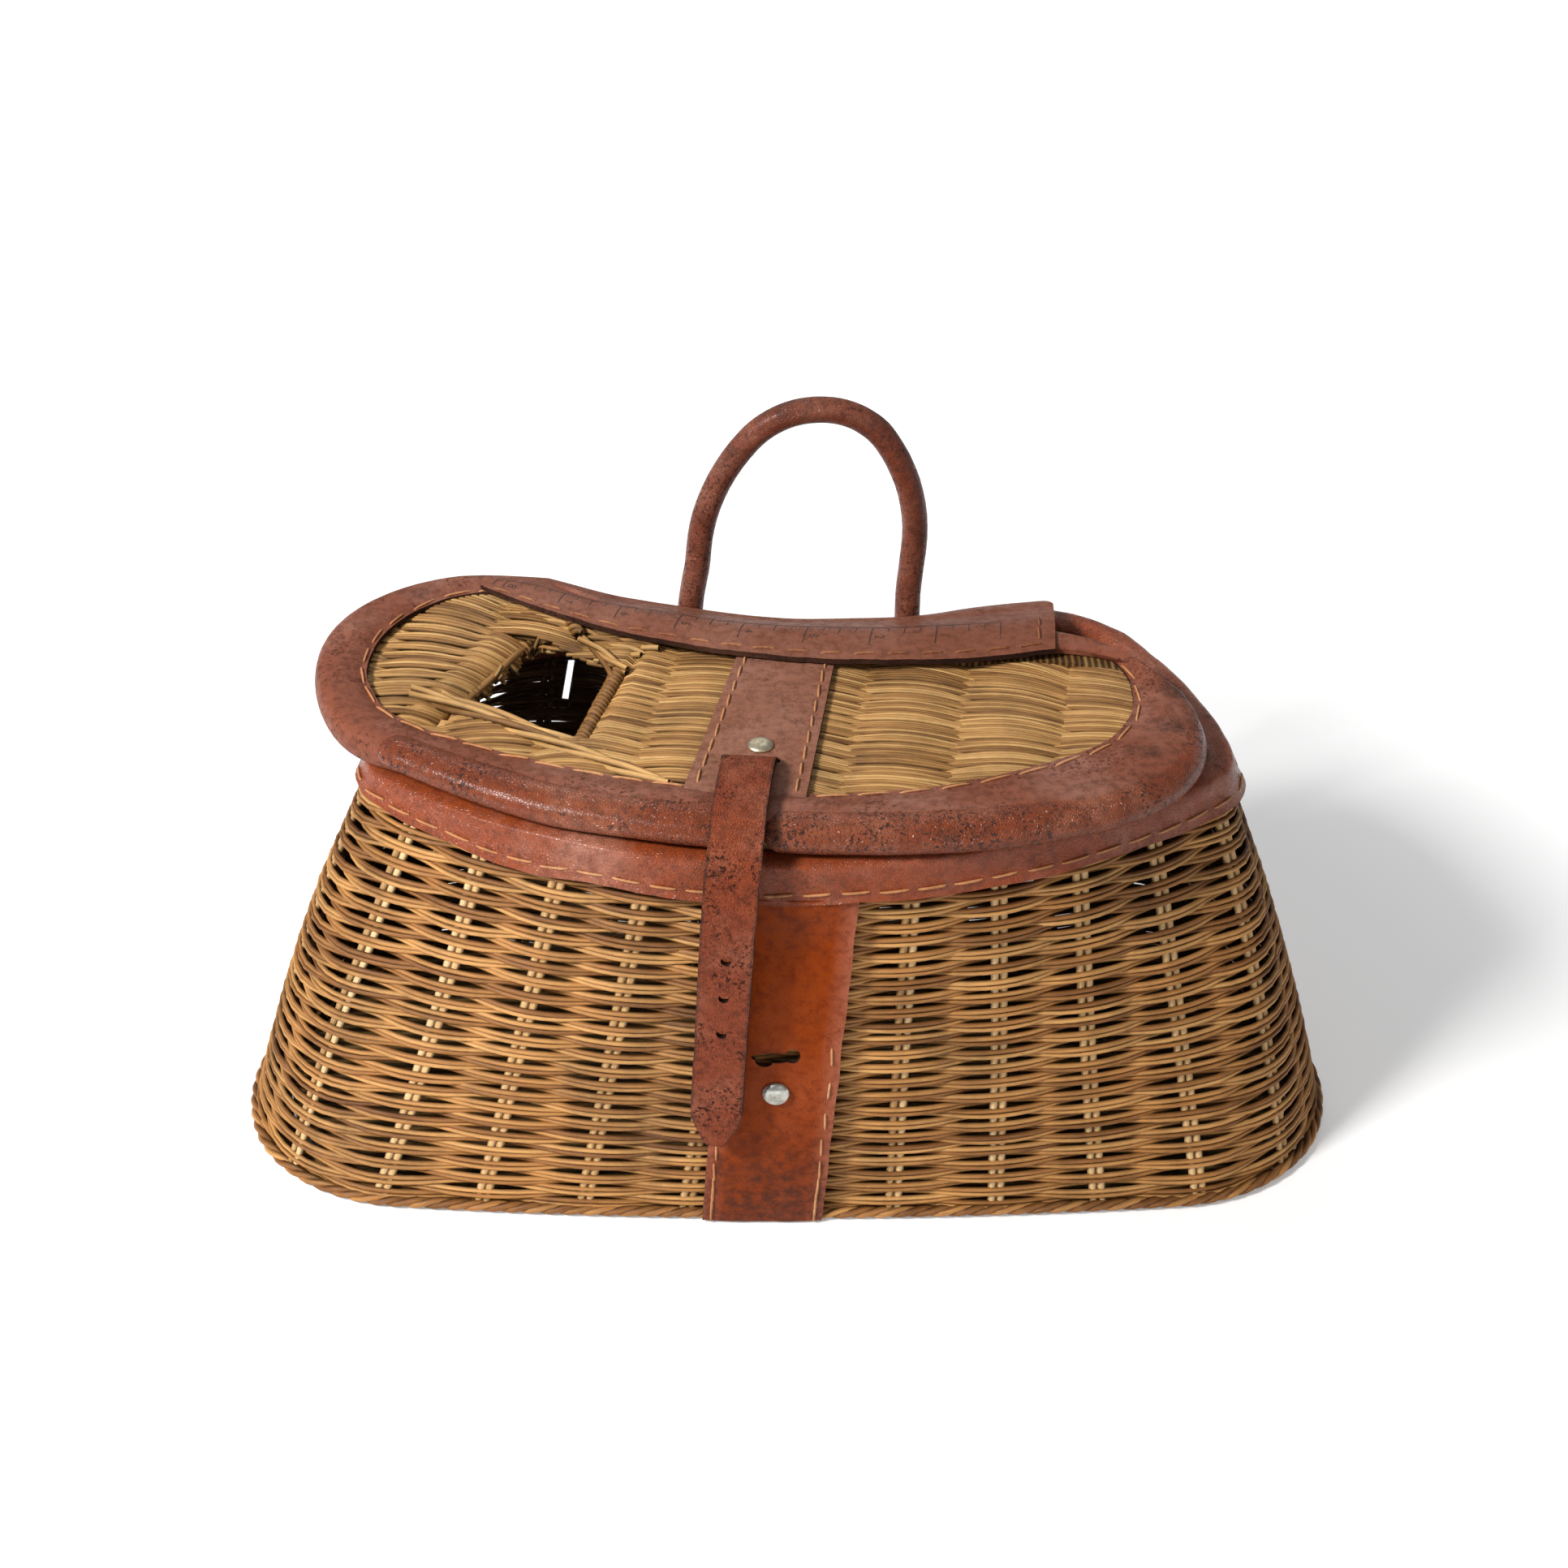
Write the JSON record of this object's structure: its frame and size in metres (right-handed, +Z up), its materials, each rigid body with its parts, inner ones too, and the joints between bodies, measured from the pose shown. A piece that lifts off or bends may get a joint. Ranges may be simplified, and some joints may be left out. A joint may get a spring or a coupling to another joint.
{
  "type": "wicker fishing creel",
  "caption": "Woven wicker fish basket with a leather-bound hinged lid, fish hole, ruler band, padded front roll, buckle-less strap and stand-up handle.",
  "frame": {"origin": "on the flat underside of the base, under the middle of the body", "axes": "+X to the creel's right along its length, -Y towards its front with the strap, +Z up"},
  "size_m": [0.4429, 0.1977, 0.2712],
  "materials": {
    "wicker": "satin",
    "dark_wicker": "satin",
    "pale_wicker": "satin",
    "orange_leather": "gloss",
    "brown_leather": "satin",
    "mauve_leather": "satin",
    "rough_leather": "matte",
    "cord_core": "matte",
    "brass": "worn"
  },
  "bodies": {
    "body": {"base_border": "dark_wicker", "base_weave": "wicker", "base_sticks": "wicker", "side_stakes": "dark_wicker", "side_weave": "wicker", "rim_hoop": "wicker", "rim_binding": "orange_leather", "front_panel": "orange_leather", "closing_stud": "brass", "hinge_strip": "brown_leather", "handle_tabs": "brown_leather", "handle_tab_rivets": "brass"},
    "lid": {"lid_hoop": "pale_wicker", "lid_weave": "pale_wicker", "lid_stakes": "pale_wicker", "lid_binding": "mauve_leather", "lid_roll_left": "mauve_leather", "lid_roll_right": "mauve_leather", "lid_roll_cores": "cord_core", "lid_centre_panel": "orange_leather", "ruler_band": "mauve_leather", "strap_root": "rough_leather", "strap_rivet": "brass"},
    "handle": {"handle_leather": "brown_leather", "handle_core": "cord_core"},
    "strap": {"strap_tail": "rough_leather"}
  },
  "joints": [
    {"name": "lid_hinge", "type": "hinge", "parent": "body", "child": "lid", "pos_m": [-0.007, 0.10374, 0.177], "axis": [-0.9925, 0.1221, 0], "range_deg": [0, 100]},
    {"name": "handle_fold", "type": "hinge", "parent": "body", "child": "handle", "pos_m": [0.005, 0.101, 0.1665], "axis": [-1, 0, 0], "range_deg": [0, 70]},
    {"name": "strap_swing", "type": "hinge", "parent": "lid", "child": "strap", "pos_m": [-0.0175, -0.069, 0.1914], "axis": [-0.9962, 0.0872, 0], "range_deg": [0, 110]}
  ],
  "couplings": [
    {"joint": "handle_fold", "follows": "lid_hinge", "ratio": 0.7}
  ]
}
